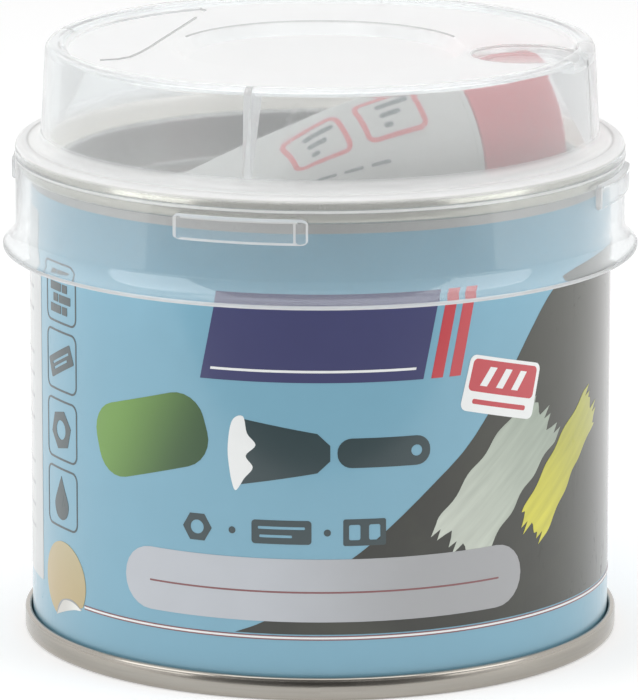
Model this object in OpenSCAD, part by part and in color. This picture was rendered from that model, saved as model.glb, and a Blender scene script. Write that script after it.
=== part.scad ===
// Two-component filler tin: a seamed steel tin of filler with a lever lid, a hardener tube that
// lies on the lid, and a clear push-on mixing cap that covers both.
// Origin: centre of the bottom seam on the standing plane. +Z up, front towards -Y.

/* [Tin] */
// Outside diameter of the tin's wall
body_d = 83.3; // [60:0.1:110]
// Height of the tin from seam to seam
tin_h = 71; // [50:0.5:120]
// Thickness of the wall's plate
body_plate = 0.24; // [0.16:0.02:0.3]
// Width of the raised weld along the back of the wall
weld_w = 1.2; // [0.6:0.1:3]
// Height of the weld above the wall
weld_rise = 0.1; // [0.04:0.02:0.2]

/* [Seams] */
// Height of each double seam
seam_h = 3.3; // [2.8:0.1:4]
// Thickness of the plate of the bottom, the ring and the lid
end_plate = 0.26; // [0.18:0.02:0.3]
// Gap between the folded layers of a seam
seam_gap = 0.12; // [0.08:0.01:0.2]
// Bend radius at the seam's crown, at mid-plate
crown_r = 0.5; // [0.35:0.05:0.6]
// Room left above each hook for the sealing compound
compound_room = 0.6; // [0.4:0.05:0.8]

/* [Bottom] */
// Depth of the bottom panel inside the seam
bottom_recess = 3.7; // [2.5:0.1:8]
// Depth of the rings pressed into the bottom panel
bottom_bead = 0.5; // [0.3:0.1:1]

/* [Ring and lid] */
// Depth of the ring's flat below the seam's crown
ring_depth = 3.8; // [3.4:0.1:6]
// Step in from the tin's wall to the socket that takes the lid
ring_w = 3.85; // [3.5:0.05:12]
// Depth of the socket below the ring's flat
socket_h = 4.6; // [3:0.1:8]
// Radial clearance of the lid in its socket
lid_fit = 0.05; // [0.02:0.01:0.1]
// Depth of the lid's panel below the seam's crown
lid_recess = 9.4; // [7:0.1:14]
// Outside radius of the lid's rolled edge
lid_curl_r = 0.65; // [0.5:0.05:1]

/* [Filler] */
// Room between the filler and the lid's panel
headspace = 5.4; // [2:0.1:40]
// Gap between the filler and the metal round it
filler_gap = 0.1; // [0.05:0.05:0.3]

/* [Mixing cap] */
// Height of the cap's top above the seam it sits on
cap_rise = 14.75; // [12:0.05:30]
// Wall of the clear moulding
cap_wall = 0.7; // [0.6:0.05:1]
// Step in from the tin's wall to the foot of the crown
crown_in = 1.65; // [1.2:0.05:6]
// Lean of the crown's wall from its foot to its top edge
crown_lean = 0.8; // [0:0.1:3]
// Radius of the crown's top edge
crown_edge_r = 1.3; // [1:0.1:2]
// Rise of the rim round the top above the panel inside it
rim_rise = 0.95; // [0.4:0.05:1.5]
// Width of the rim, from the panel inside it to the crown's edge
rim_w = 3.2; // [2.8:0.1:4]
// Radial clearance between the skirt and the seam
skirt_fit = 0.15; // [0.1:0.05:0.5]
// Height of the skirt below the seam's crown
skirt_h = 14.5; // [8:0.1:30]
// Height of the flared lip
flare_h = 3; // [1:0.1:6]
// Reach of the flared lip past the skirt
flare_reach = 1.9; // [0.5:0.05:4]
// Gap between the mixing dish and the measuring cup
dish_gap = 1.1; // [1:0.1:8]
// Depth of the mixing dish
dish_depth = 1.9; // [1:0.1:3]
// Diameter of the hardener measuring cup at its mouth
cup_d = 14.8; // [8:0.2:16]
// Depth of the measuring cup
cup_depth = 1.2; // [0.8:0.1:5]
// Distance of the measuring cup's middle from the crown's edge
cup_inset = 9.7; // [8.5:0.1:11]
// Turn of the measuring cup from the front, towards the right
cup_turn = 78; // [0:1:360]
// Depth of the wiping step beside the dish
step_depth = 0.35; // [0.2:0.05:0.5]
// Number of stiffening ribs, with a grip bar below each
rib_count = 4; // [2:1:8]
// Turn of the first rib from the front, towards the right
rib_turn = -14.9; // [-45:0.1:45]
// Thickness of a rib
rib_t = 1.5; // [0.8:0.1:2.5]
// Reach of a rib along the underside of the top
rib_reach = 6.2; // [4:0.1:8]
// Width of a grip bar round the skirt
bar_w = 19.6; // [8:0.2:28]
// Height of a grip bar
bar_h = 3.9; // [2:0.1:6]
// Stand-out of a grip bar from the skirt
bar_rise = 0.55; // [0.3:0.05:1]

/* [Hardener tube] */
// Outside diameter of the tube's round end
tube_d = 18; // [14:0.1:18]
// Length of the sleeve from tail to shoulder, as a share of the lid's inside diameter
sleeve_share = 0.5335; // [0.4:0.0005:0.56]
// Wall of the sleeve
sleeve_wall = 0.45; // [0.3:0.05:0.6]
// Length of the straight round stretch behind the shoulder
sleeve_round_l = 4; // [2:0.5:16]
// Length of the flat welded tail
tail_l = 3.5; // [2:0.1:6]
// Rise of the flat tail above the tube's axis
tail_rise = 1.9; // [0:0.1:4]
// Outside diameter of the threaded neck
neck_d = 8; // [5:0.1:9]
// Length of the neck from the shoulder
neck_l = 7; // [4:0.1:9]
// Bore of the neck
neck_bore_d = 3.6; // [1:0.1:4]
// Pitch of the rings that stand for the neck's thread
thread_pitch = 2; // [1.5:0.1:3]
// Height of the thread above the neck
thread_rise = 0.4; // [0.2:0.05:0.6]
// Radial clearance of the screw cap on the thread
thread_fit = 0.08; // [0.04:0.01:0.1]
// Length of the screw cap
screw_cap_l = 12.6; // [12:0.1:14]
// Wall of the screw cap
screw_cap_wall = 1; // [0.7:0.1:1.4]
// Turn of the tube from the left-right line, its cap end going back
tube_turn = 18.4; // [0:0.2:360]
// Tilt of the tube, its cap end going up
tube_tilt = 11; // [0:0.5:12]
// Distance of the tube's axis from the tin's axis, as a share of the lid's inside radius
ahead_share = 0.136; // [0.05:0.001:0.3]
// Shift of the tube's middle towards its cap, as a share of the lid's inside radius
along_share = 0.153; // [-0.1:0.001:0.16]
// Gap between the tube and the lid under it
tube_rest_gap = 0.1; // [0.05:0.05:0.3]

/* [Hidden] */
$fn = 96;
hull_fn = 48;
arc_steps = 5;
join = 0.2;

body_r = body_d / 2;
body_in_r = body_r - body_plate;

// Mid-plate radii of the five layers of a double seam, from inside to outside
chuck_r = body_in_r - seam_gap - end_plate / 2;
wall_r = body_r - body_plate / 2;
cover_hook_r = body_r + seam_gap + end_plate / 2;
body_hook_r = cover_hook_r + end_plate / 2 + seam_gap + body_plate / 2;
seaming_r = body_hook_r + body_plate / 2 + seam_gap + end_plate / 2;
seam_r = seaming_r + end_plate / 2;

// Bends of the hooks, and depths below the seam's crown
body_bend_r = (body_hook_r - wall_r) / 2;
cover_bend_r = (seaming_r - cover_hook_r) / 2;
body_bend_z = -(end_plate + seam_gap + body_plate / 2 + body_bend_r);
cover_bend_z = -(seam_h - end_plate / 2 - cover_bend_r);
cover_hook_top = body_bend_z - compound_room;
body_hook_foot = cover_bend_z + compound_room - seam_gap;

// Ring, socket and lid
socket_d = body_d - 2 * ring_w;
ring_bend_r = 0.6;
ring_z = -(ring_depth + end_plate / 2);
socket_r = socket_d / 2 + end_plate / 2;
socket_foot_z = ring_z - socket_h;
lid_wall_r = socket_d / 2 - lid_fit - end_plate / 2;
lid_curl_mid_r = lid_curl_r - end_plate / 2;
lid_curl_z = -ring_depth + lid_curl_r;
lid_panel_z = -(lid_recess + end_plate / 2);
lid_in_r = lid_wall_r - end_plate / 2;
lid_groove_r = 0.84 * lid_wall_r;
lid_groove_w = 2.4;
lid_groove_depth = 0.4;
bend_r = 0.8;
filler_top = tin_h - lid_recess - headspace;

// Mixing cap, in heights above the standing plane
cap_top_z = tin_h + cap_rise;
cap_mid = cap_wall / 2;
panel_z = cap_top_z - rim_rise;
crown_foot_d = body_d - 2 * crown_in;
crown_d = crown_foot_d - 2 * crown_lean;
rim_in_r = crown_d / 2 - rim_w;
rim_slope = 0.7 * (rim_w - crown_edge_r);
cup_offset = crown_d / 2 - cup_inset;
dish_d = 2 * (cup_offset - cup_d / 2 - dish_gap);
skirt_in_r = seam_r + skirt_fit;
skirt_r = skirt_in_r + cap_wall;
skirt_foot_z = tin_h - skirt_h;
shoulder_edge_r = 1.1;
shoulder_fillet_r = 0.9;
dish_wall_run = 1;
rib_foot_z = tin_h + cap_wall;
rib_foot_reach = 0.6;
bar_edge_r = 0.9;
bar_top_z = tin_h - 2.3;
cup_draft = 0.2;

// Hardener tube, along its own axis from the tail
tube_r = tube_d / 2;
sleeve_l = sleeve_share * 2 * lid_in_r;
tube_ahead = ahead_share * lid_in_r;
tube_along = along_share * lid_in_r;
round_x = sleeve_l - sleeve_round_l;
tube_axis_z = tin_h - lid_recess + tube_rest_gap + tube_r * cos(tube_tilt);
tail_w = PI * (tube_r - sleeve_wall / 2);
tail_t = 2 * sleeve_wall;
shoulder_t = 0.8;
head_plug_l = 1.6;
head_gap = 0.06;
head_cone_l = 1.7;
neck_foot_x = sleeve_l + shoulder_t + head_cone_l;
neck_tip_x = neck_foot_x + neck_l;
seal_t = 0.15;
screw_cap_x = sleeve_l + shoulder_t + head_gap;
screw_cap_end_x = screw_cap_x + screw_cap_l;
thread_sleeve_in_r = neck_d / 2 + thread_rise + thread_fit;
paste_gap = 0.15;

// Points along an arc in the half-plane of a turned profile
function arc(r, z, radius, from, to, steps = arc_steps) =
    [for (i = [0:steps]) let (a = from + (to - from) * i / steps) [r + radius * cos(a), z + radius * sin(a)]];

function unit(v) = v / norm(v);

function turned_left(v) = [-v[1], v[0]];

function last(list) = len(list) - 1;

// The path moved sideways by a distance, mitred at each point
function side_path(path, offset) =
    [for (i = [0:last(path)])
        let (before = unit(path[max(i, 1)] - path[max(i, 1) - 1]))
        let (after = unit(path[min(i, last(path) - 1) + 1] - path[min(i, last(path) - 1)]))
        let (across = unit(turned_left(before) + turned_left(after)))
        path[i] + across * offset / (across * turned_left(before))];

function reversed(list) = [for (i = [last(list):-1:0]) list[i]];

// A sheet of even thickness turned about the Z axis
module turned_sheet(path, thickness) {
    rotate_extrude()
        polygon(concat(side_path(path, thickness / 2), reversed(side_path(path, -thickness / 2))));
}

// Lays out children drawn with the seam's crown at zero
module at_top() {
    translate([0, 0, tin_h]) children();
}

module at_bottom() {
    mirror([0, 0, 1]) children();
}

// Turns children drawn along +X to a direction measured from the front towards the right
module facing(turn) {
    rotate([0, 0, turn - 90]) children();
}

// The end plate from the top of its chuck wall, over the crown and down to the cover hook
function seamed_edge() = concat(
    arc(chuck_r + crown_r, -end_plate / 2 - crown_r, crown_r, 180, 90),
    arc(seaming_r - crown_r, -end_plate / 2 - crown_r, crown_r, 90, 0),
    arc(seaming_r - cover_bend_r, cover_bend_z, cover_bend_r, 0, -180, 2 * arc_steps),
    [[cover_hook_r, cover_hook_top]]);

// Sealing compound that fills the fold above the cover hook
module seam_seal() {
    inner = body_r + seam_gap / 2;
    outer = body_hook_r - body_plate / 2 - seam_gap / 2;
    height = compound_room - seam_gap;
    color("dimgray")
        translate([0, 0, cover_hook_top + seam_gap / 2])
            difference() {
                cylinder(h = height, r = outer);
                translate([0, 0, -join]) cylinder(h = height + 2 * join, r = inner);
            }
}

// Welded tinplate wall, flanged into both seams
module tin_body() {
    bend_mid_r = wall_r + body_bend_r;
    top_bend_z = tin_h + body_bend_z;
    top_hook_z = tin_h + body_hook_foot;
    weld_z = seam_h + weld_w;
    color("skyblue") {
        turned_sheet(concat(
            [[body_hook_r, -body_hook_foot]],
            arc(bend_mid_r, -body_bend_z, body_bend_r, 0, -180, 2 * arc_steps),
            arc(bend_mid_r, top_bend_z, body_bend_r, 180, 0, 2 * arc_steps),
            [[body_hook_r, top_hook_z]]), body_plate);
        intersection() {
            difference() {
                cylinder(h = tin_h - weld_z, r = body_r + weld_rise);
                translate([0, 0, -join]) cylinder(h = tin_h, r = body_r - body_plate / 2);
            }
            translate([-weld_w / 2, 0, weld_z]) cube([weld_w, body_d, tin_h]);
        }
    }
}

// Pressed bottom with two rings, seamed to the wall
module bottom_end() {
    panel = -(bottom_recess + end_plate / 2);
    sunk = panel - bottom_bead;
    bead_slope = 0.8;
    inner_bead_r = body_r * 0.48;
    outer_bead_r = body_r * 0.71;
    color("silver")
        at_bottom()
            turned_sheet(concat(
                [[0, panel], [inner_bead_r, panel], [inner_bead_r + bead_slope, sunk]],
                [[outer_bead_r, sunk], [outer_bead_r + bead_slope, panel]],
                arc(chuck_r - bend_r, panel + bend_r, bend_r, -90, 0),
                seamed_edge()), end_plate);
}

module bottom_seam_seal() {
    at_bottom() seam_seal();
}

// Ring seamed into the top, with the socket that the lid is pressed into
module top_ring() {
    foot_curl_r = ring_bend_r;
    color("silver")
        at_top()
            turned_sheet(concat(
                [[socket_r + 2 * foot_curl_r, socket_foot_z + 2 * foot_curl_r]],
                arc(socket_r + foot_curl_r, socket_foot_z + foot_curl_r, foot_curl_r, 0, -180, 2 * arc_steps),
                arc(socket_r + ring_bend_r, ring_z - ring_bend_r, ring_bend_r, 180, 90),
                arc(chuck_r - ring_bend_r, ring_z + ring_bend_r, ring_bend_r, -90, 0),
                seamed_edge()), end_plate);
}

module top_seam_seal() {
    at_top() seam_seal();
}

// Dished lid with a rolled edge that rests on the ring
module lever_lid() {
    groove_z = lid_panel_z - lid_groove_depth;
    color("gainsboro")
        at_top()
            turned_sheet(concat(
                [[0, lid_panel_z], [lid_groove_r - lid_groove_w, lid_panel_z]],
                [[lid_groove_r - lid_groove_w / 2, groove_z], [lid_groove_r, lid_panel_z]],
                arc(lid_wall_r - bend_r, lid_panel_z + bend_r, bend_r, -90, 0),
                arc(lid_wall_r + lid_curl_mid_r, lid_curl_z, lid_curl_mid_r, 180, -100, 3 * arc_steps)),
                end_plate);
}

// Filler, level under the lid
module filler_paste() {
    foot_z = bottom_recess + end_plate + bottom_bead + filler_gap;
    color("tan")
        translate([0, 0, foot_z])
            cylinder(h = filler_top - foot_z, r = body_in_r - filler_gap);
}

// Mid-wall line of the clear cap, from the dish's middle out to the lip
function cap_line() = concat(
    [[0, panel_z - cap_mid - dish_depth], [dish_d / 2 - dish_wall_run, panel_z - cap_mid - dish_depth]],
    [[dish_d / 2, panel_z - cap_mid]],
    [[rim_in_r, panel_z - cap_mid], [rim_in_r + rim_slope, cap_top_z - cap_mid]],
    arc(crown_d / 2 - crown_edge_r, cap_top_z - crown_edge_r, crown_edge_r - cap_mid, 90, 0),
    arc(crown_foot_d / 2 + shoulder_fillet_r, tin_h + cap_wall + shoulder_fillet_r, shoulder_fillet_r + cap_mid,
        180, 270),
    arc(skirt_r - shoulder_edge_r, tin_h + cap_wall - shoulder_edge_r, shoulder_edge_r - cap_mid, 90, 0),
    [[skirt_r - cap_mid, skirt_foot_z + flare_h]],
    [[skirt_r - cap_mid + flare_reach * 0.22, skirt_foot_z + flare_h * 0.6]],
    [[skirt_r - cap_mid + flare_reach * 0.58, skirt_foot_z + flare_h * 0.24]],
    [[skirt_r - cap_mid + flare_reach, skirt_foot_z + cap_mid * 0.5]]);

// Gusset between the crown's wall and the underside of the top, drawn along +X
module cap_rib() {
    foot_r = crown_foot_d / 2 - cap_mid;
    rotate([90, 0, 0])
        linear_extrude(rib_t, center = true)
            polygon(concat(
                [[crown_d / 2 - cap_mid - rib_reach, panel_z - cap_mid]],
                [[rim_in_r, panel_z - cap_mid], [rim_in_r + rim_slope, cap_top_z - cap_mid]],
                arc(crown_d / 2 - crown_edge_r, cap_top_z - crown_edge_r, crown_edge_r - cap_mid, 90, 0),
                [[foot_r, rib_foot_z + shoulder_fillet_r], [foot_r - rib_foot_reach, rib_foot_z]]));
}

// Raised bar with rounded corners on the outside of the skirt, drawn along +X
module cap_bar() {
    straight_w = bar_w - 2 * bar_edge_r;
    straight_h = bar_h - 2 * bar_edge_r;
    intersection() {
        difference() {
            translate([0, 0, skirt_foot_z]) cylinder(h = skirt_h, r = skirt_r + bar_rise);
            cylinder(h = cap_top_z, r = skirt_r - cap_mid);
        }
        translate([0, 0, bar_top_z - bar_h / 2])
            rotate([90, 0, 90])
                linear_extrude(seam_r + body_r) {
                    square([bar_w, straight_h], center = true);
                    square([straight_w, bar_h], center = true);
                    for (x = [-1, 1], y = [-1, 1])
                        translate([x * straight_w / 2, y * straight_h / 2]) circle(r = bar_edge_r);
                }
    }
}

// Outline of the wiping step on the left of the top, a strip with a curved inner edge
module step_outline() {
    across = [[-1, -0.28], [-0.79, -0.29], [-0.73, -0.27], [-0.69, -0.23], [-0.66, -0.15], [-0.625, -0.04], [-0.55, 0.25],
        [-0.42, 0.75], [-0.36, 1], [-1, 1]];
    intersection() {
        circle(r = rim_in_r - cap_mid);
        polygon(across * crown_d / 2);
    }
}

// Fills the rim's hollow where the measuring cup cuts into it
module cup_backing() {
    difference() {
        facing(cup_turn)
            translate([cup_offset, 0, panel_z - 2 * cap_wall])
                cylinder(h = 2 * cap_wall + rim_rise / 4, r = cup_d / 2 + 2 * cap_wall);
        cylinder(h = cap_top_z, r = rim_in_r + rim_slope / 4);
    }
}

// Clear push-on cap: mixing dish, measuring cup, ribs and grip bars in one moulding
module mixing_cap() {
    cup_r = cup_d / 2;
    cup_floor_z = panel_z - cup_depth;
    color([0.93, 0.95, 0.96, 0.35])
        difference() {
            union() {
                turned_sheet(cap_line(), cap_wall);
                for (i = [0:rib_count - 1])
                    facing(rib_turn + i * 360 / rib_count) {
                        cap_rib();
                        cap_bar();
                    }
                facing(cup_turn)
                    translate([cup_offset, 0, cup_floor_z - cap_wall])
                        cylinder(h = cup_depth + cap_mid, r1 = cup_r - cup_draft + cap_wall, r2 = cup_r + cap_wall);
                cup_backing();
            }
            facing(cup_turn)
                translate([cup_offset, 0, cup_floor_z])
                    cylinder(h = 2 * cup_depth + rim_rise, r1 = cup_r - cup_draft, r2 = cup_r + cup_draft);
            translate([0, 0, panel_z - step_depth]) linear_extrude(1) step_outline();
        }
}

// Lays out children drawn along +X from the tail, resting on the lid where the round stretch starts
module along_tube() {
    rest_x = tube_along - (screw_cap_end_x / 2 - round_x) * cos(tube_tilt);
    rotate([0, 0, tube_turn])
        translate([rest_x, -tube_ahead, tube_axis_z]) rotate([0, -tube_tilt, 0]) translate([-round_x, 0, 0]) children();
}

// Round bar along the tube's axis
module tube_bar(x, length, r1, r2) {
    translate([x, 0, 0]) rotate([0, 90, 0]) cylinder(h = length, r1 = r1, r2 = r2);
}

// Wedge from a flat tail to a round stretch
module tube_wedge(tail_x0, tail_x1, rise, width, thickness, end_x, radius) {
    hull() {
        translate([tail_x0, -width / 2, rise - thickness / 2]) cube([tail_x1 - tail_x0, width, thickness]);
        translate([round_x, 0, 0]) rotate([0, 90, 0]) cylinder(h = end_x - round_x, r = radius, $fn = hull_fn);
    }
}

// Plastic sleeve, flat at the welded tail and round at the shoulder
module tube_sleeve() {
    inner_r = tube_r - sleeve_wall;
    slit = 0.1;
    color("white")
        along_tube()
            difference() {
                tube_wedge(0, tail_l, tail_rise, tail_w, tail_t, sleeve_l, tube_r);
                tube_wedge(tail_l, tail_l + join, tail_rise, tail_w - 2 * tail_t, slit, sleeve_l + 1, inner_r);
            }
}

// Shoulder with the threaded neck, set in the sleeve's end
module tube_head() {
    plug_r = tube_r - sleeve_wall - head_gap;
    cone_r = tube_r - screw_cap_wall - 2 * head_gap;
    thread_w = thread_pitch / 2;
    bore_r = neck_bore_d / 2;
    color("white")
        along_tube()
            difference() {
                union() {
                    tube_bar(sleeve_l - head_plug_l, head_plug_l + join, plug_r, plug_r);
                    tube_bar(sleeve_l + head_gap / 2, shoulder_t - head_gap / 2, tube_r, tube_r);
                    tube_bar(sleeve_l + shoulder_t, head_cone_l, cone_r, neck_d / 2);
                    tube_bar(neck_foot_x, neck_l, neck_d / 2, neck_d / 2);
                    for (x = [neck_foot_x + thread_w:thread_pitch:neck_tip_x - thread_w])
                        tube_bar(x, thread_w, neck_d / 2 + thread_rise, neck_d / 2 + thread_rise);
                }
                tube_bar(sleeve_l - head_plug_l - join, neck_tip_x - sleeve_l + head_plug_l + 2 * join, bore_r, bore_r);
            }
}

// Membrane that closes the neck until first use
module tube_seal() {
    color("silver")
        along_tube() tube_bar(neck_tip_x, seal_t, neck_d / 2 - thread_rise, neck_d / 2 - thread_rise);
}

// Screw cap as wide as the tube, with an inner sleeve round the neck
module tube_cap() {
    thread_sleeve_r = thread_sleeve_in_r + screw_cap_wall;
    thread_sleeve_x = neck_foot_x + head_gap;
    bore_end_x = neck_tip_x + seal_t + head_gap;
    mouth_x = thread_sleeve_x - join;
    edge = 0.6;
    color("firebrick")
        along_tube() {
            difference() {
                union() {
                    tube_bar(screw_cap_x, screw_cap_l - edge, tube_r, tube_r);
                    tube_bar(screw_cap_end_x - edge, edge, tube_r, tube_r - edge);
                }
                tube_bar(screw_cap_x - join, screw_cap_l - screw_cap_wall + join, tube_r - screw_cap_wall,
                    tube_r - screw_cap_wall);
            }
            difference() {
                tube_bar(thread_sleeve_x, screw_cap_end_x - screw_cap_wall / 2 - thread_sleeve_x, thread_sleeve_r,
                    thread_sleeve_r);
                tube_bar(mouth_x, bore_end_x - mouth_x, thread_sleeve_in_r, thread_sleeve_in_r);
            }
        }
}

// Hardener that fills the tube
module hardener_paste() {
    foot_x = tail_l + 4;
    foot_w = tail_w - 4;
    foot_t = 1.2;
    foot_rise = tail_rise * (round_x - foot_x) / (round_x - tail_l);
    paste_r = tube_r - sleeve_wall - paste_gap;
    end_x = sleeve_l - head_plug_l - paste_gap;
    color("indianred")
        along_tube()
            tube_wedge(foot_x, foot_x + join, foot_rise, foot_w, foot_t, end_x, paste_r);
}

tin_body();
bottom_end();
bottom_seam_seal();
top_ring();
top_seam_seal();
lever_lid();
filler_paste();
mixing_cap();
tube_sleeve();
tube_head();
tube_seal();
tube_cap();
hardener_paste();
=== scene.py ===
"""Looks of a filler tin with a lever lid, a hardener tube on the lid and a clear mixing cap."""
import math

import bmesh
import bpy
from mathutils import Matrix, Vector


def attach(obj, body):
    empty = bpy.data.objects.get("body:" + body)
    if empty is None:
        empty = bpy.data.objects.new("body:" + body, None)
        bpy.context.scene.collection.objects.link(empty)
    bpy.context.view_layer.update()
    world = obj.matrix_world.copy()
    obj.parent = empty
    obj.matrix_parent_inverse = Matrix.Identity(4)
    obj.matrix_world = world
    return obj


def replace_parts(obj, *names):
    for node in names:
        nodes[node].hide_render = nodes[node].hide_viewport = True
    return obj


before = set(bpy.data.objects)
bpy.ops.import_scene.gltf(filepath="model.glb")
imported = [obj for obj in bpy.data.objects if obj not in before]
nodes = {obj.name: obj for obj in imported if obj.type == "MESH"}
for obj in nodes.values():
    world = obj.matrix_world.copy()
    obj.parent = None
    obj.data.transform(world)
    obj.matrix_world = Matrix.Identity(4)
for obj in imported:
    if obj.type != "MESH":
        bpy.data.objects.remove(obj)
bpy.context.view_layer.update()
scene = bpy.context.scene

# Sizes in millimetres, most of them as in the part's source
MM = 0.001
WALL_R = 41.65
TIN_H = 71.0
SEAM_MIDDLES = (1.2, 69.0)
SEAM_HALF = 1.6
SKIRT_R = 43.62
CAP_TOP = 85.75
PANEL_Z = 84.8
CAP_WALL = 0.7
CROWN_R = 39.2
CROWN_FOOT_R = 40.0
DISH_R = 21.0
DISH_DEPTH = 1.9
STEP_DEPTH = 0.35
RIB_TURNS = [-14.9 + 90 * i for i in range(4)]
BAR_Z = 66.75
BAR_HALF_W = 9.8
BAR_HALF_H = 1.95
BAR_EDGE = 0.5
BAR_CELL = (7.7, 8.05)
LINE_Z = 69.6
CUP_TURN = 78.0
CUP_OUT = 29.5
CUP_R = 7.4
CUP_DEPTH = 1.2
TUBE_R = 9.0
TAIL_L = 3.5
TAIL_HALF_W = 12.2
TAIL_HALF_H = 0.45
TAIL_RISE = 1.9
ROUND_FROM = 36.0
TAIL_AT = Vector((-17.846, -11.31, 63.666))
TUBE_ALONG = Vector((0.931442, 0.30985, 0.190809))
TUBE_ACROSS = Vector((-0.315649, 0.948876, 0))
TUBE_UP = TUBE_ALONG.cross(TUBE_ACROSS)
LID_Z = 61.7
PRINT_SUNK = 0.02


# Shader tools
def screen(red, green, blue):
    """A colour as it looks on a screen, 0 to 255, for a shader's socket."""
    def channel(value):
        value /= 255
        return value / 12.92 if value <= 0.04045 else ((value + 0.055) / 1.055) ** 2.4
    return channel(red), channel(green), channel(blue), 1.0


def feed(node, inputs):
    """Gives a node's inputs values, or links from sockets."""
    for key, value in inputs.items():
        if isinstance(value, bpy.types.NodeSocket):
            node.id_data.links.new(value, node.inputs[key])
        else:
            node.inputs[key].default_value = value


def put(tree, kind, inputs=None, **settings):
    """Adds one shader node, with settings and inputs."""
    node = tree.nodes.new(kind)
    for key, value in settings.items():
        setattr(node, key, value)
    feed(node, inputs or {})
    return node


def sums(tree, how, *values):
    """One step of arithmetic on numbers or sockets."""
    return put(tree, "ShaderNodeMath", dict(enumerate(values)), operation=how).outputs[0]


def eased(tree, value, low, high, to_low=0.0, to_high=1.0):
    """The value carried smoothly from one range to another."""
    return put(tree, "ShaderNodeMapRange",
               {"Value": value, "From Min": low, "From Max": high, "To Min": to_low, "To Max": to_high},
               interpolation_type="SMOOTHSTEP").outputs["Result"]


def mixed(tree, share, first, second, how="MIX"):
    """Two colours mixed by a share."""
    return put(tree, "ShaderNodeMix", {0: share, 6: first, 7: second}, data_type="RGBA", blend_type=how).outputs[2]


def toned(tree, colour, tone):
    """A colour times a tone."""
    return mixed(tree, 1.0, colour, tone, "MULTIPLY")


def blended(tree, share, first, second):
    """Two shaders mixed by a share."""
    return put(tree, "ShaderNodeMixShader", {0: share, 1: first, 2: second}).outputs[0]


def parts_of(tree, place):
    """The X, Y and Z of a place."""
    return put(tree, "ShaderNodeSeparateXYZ", {0: place}).outputs


def noise(tree, place, scale, detail, **more):
    """Soft noise about 0.5."""
    return put(tree, "ShaderNodeTexNoise", {"Vector": place, "Scale": scale, "Detail": detail, **more}).outputs["Fac"]


def swung(tree, value, depth):
    """A tone about 1 from a value about 0.5."""
    return sums(tree, "ADD", 1.0, sums(tree, "MULTIPLY", sums(tree, "SUBTRACT", value, 0.5), depth))


def from_axis(tree, place):
    """Distance from the tin's axis."""
    flat = put(tree, "ShaderNodeVectorMath", {0: place, 1: (1, 1, 0)}, operation="MULTIPLY").outputs["Vector"]
    return put(tree, "ShaderNodeVectorMath", {0: flat}, operation="LENGTH").outputs["Value"]


def effect(name, inputs, outputs):
    """A new shared effect: its tree, its input sockets and its output sockets."""
    tree = bpy.data.node_groups.new(name, "ShaderNodeTree")
    for label, kind in inputs:
        tree.interface.new_socket(label, in_out="INPUT", socket_type="NodeSocket" + kind)
    for label, kind in outputs:
        tree.interface.new_socket(label, in_out="OUTPUT", socket_type="NodeSocket" + kind)
    return tree, tree.nodes.new("NodeGroupInput").outputs, tree.nodes.new("NodeGroupOutput").inputs


def use(tree, group, **inputs):
    """Places a shared effect in a material and gives its outputs."""
    return put(tree, "ShaderNodeGroup", inputs, node_tree=group).outputs


# Shared effects
def make_print_screen():
    """Ink laid down in fine dots round the wall, a little uneven."""
    tree, ins, outs = effect("print screen", [("Ink", "Color"), ("Place", "Vector"), ("Depth", "Float")],
                             [("Colour", "Color")])
    part = parts_of(tree, ins["Place"])
    round_wall = sums(tree, "MULTIPLY", sums(tree, "ARCTAN2", part["X"], part["Y"]), WALL_R * MM)
    flat = put(tree, "ShaderNodeCombineXYZ", {"X": round_wall, "Y": part["Z"]}).outputs[0]
    turned_flat = put(tree, "ShaderNodeVectorRotate", {"Vector": flat, "Angle": math.radians(30)},
                      rotation_type="Z_AXIS").outputs[0]
    dots = put(tree, "ShaderNodeTexVoronoi", {"Vector": turned_flat, "Scale": 4200, "Randomness": 0.0})
    cloud = noise(tree, ins["Place"], 170, 3)
    tone = sums(tree, "ADD", sums(tree, "MULTIPLY", dots.outputs["Distance"], 0.8), cloud)
    drop = sums(tree, "MULTIPLY", sums(tree, "SUBTRACT", tone, 0.8), ins["Depth"])
    tree.links.new(toned(tree, ins["Ink"], sums(tree, "SUBTRACT", 1.0, drop)), outs["Colour"])
    return tree


def make_rolled_lines():
    """Fine lines round the axis that rolling and pressing leave on plate."""
    tree, ins, outs = effect("rolled lines", [("Place", "Vector"), ("Lines", "Float"), ("Depth", "Float")],
                             [("Tone", "Float"), ("Height", "Float")])
    part = parts_of(tree, ins["Place"])
    turn = sums(tree, "MULTIPLY", sums(tree, "ARCTAN2", part["X"], part["Y"]), 0.0012)
    out = from_axis(tree, ins["Place"])
    lines = put(tree, "ShaderNodeCombineXYZ", {"X": out, "Y": turn, "Z": part["Z"]}).outputs[0]
    fine = noise(tree, lines, ins["Lines"], 4)
    tree.links.new(fine, outs["Height"])
    tree.links.new(swung(tree, fine, ins["Depth"]), outs["Tone"])
    return tree


def make_hairlines():
    """Thin stray rub marks in patches, as a mask."""
    tree, ins, outs = effect("hairlines", [("Place", "Vector"), ("Size", "Float"), ("Amount", "Float")],
                             [("Mask", "Float")])
    long_way = put(tree, "ShaderNodeMapping", {"Vector": ins["Place"], "Rotation": (0.4, 0.7, 0.2),
                                               "Scale": (1.0, 1.0, 0.16)}).outputs[0]
    field = noise(tree, long_way, ins["Size"], 2, Distortion=1.2)
    off_middle = sums(tree, "ABSOLUTE", sums(tree, "SUBTRACT", field, 0.5))
    line = eased(tree, off_middle, 0.0, 0.012, 1.0, 0.0)
    here = sums(tree, "MULTIPLY", line, eased(tree, noise(tree, ins["Place"], 55, 1), 0.46, 0.62))
    tree.links.new(sums(tree, "MULTIPLY", here, ins["Amount"]), outs["Mask"])
    return tree


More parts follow.
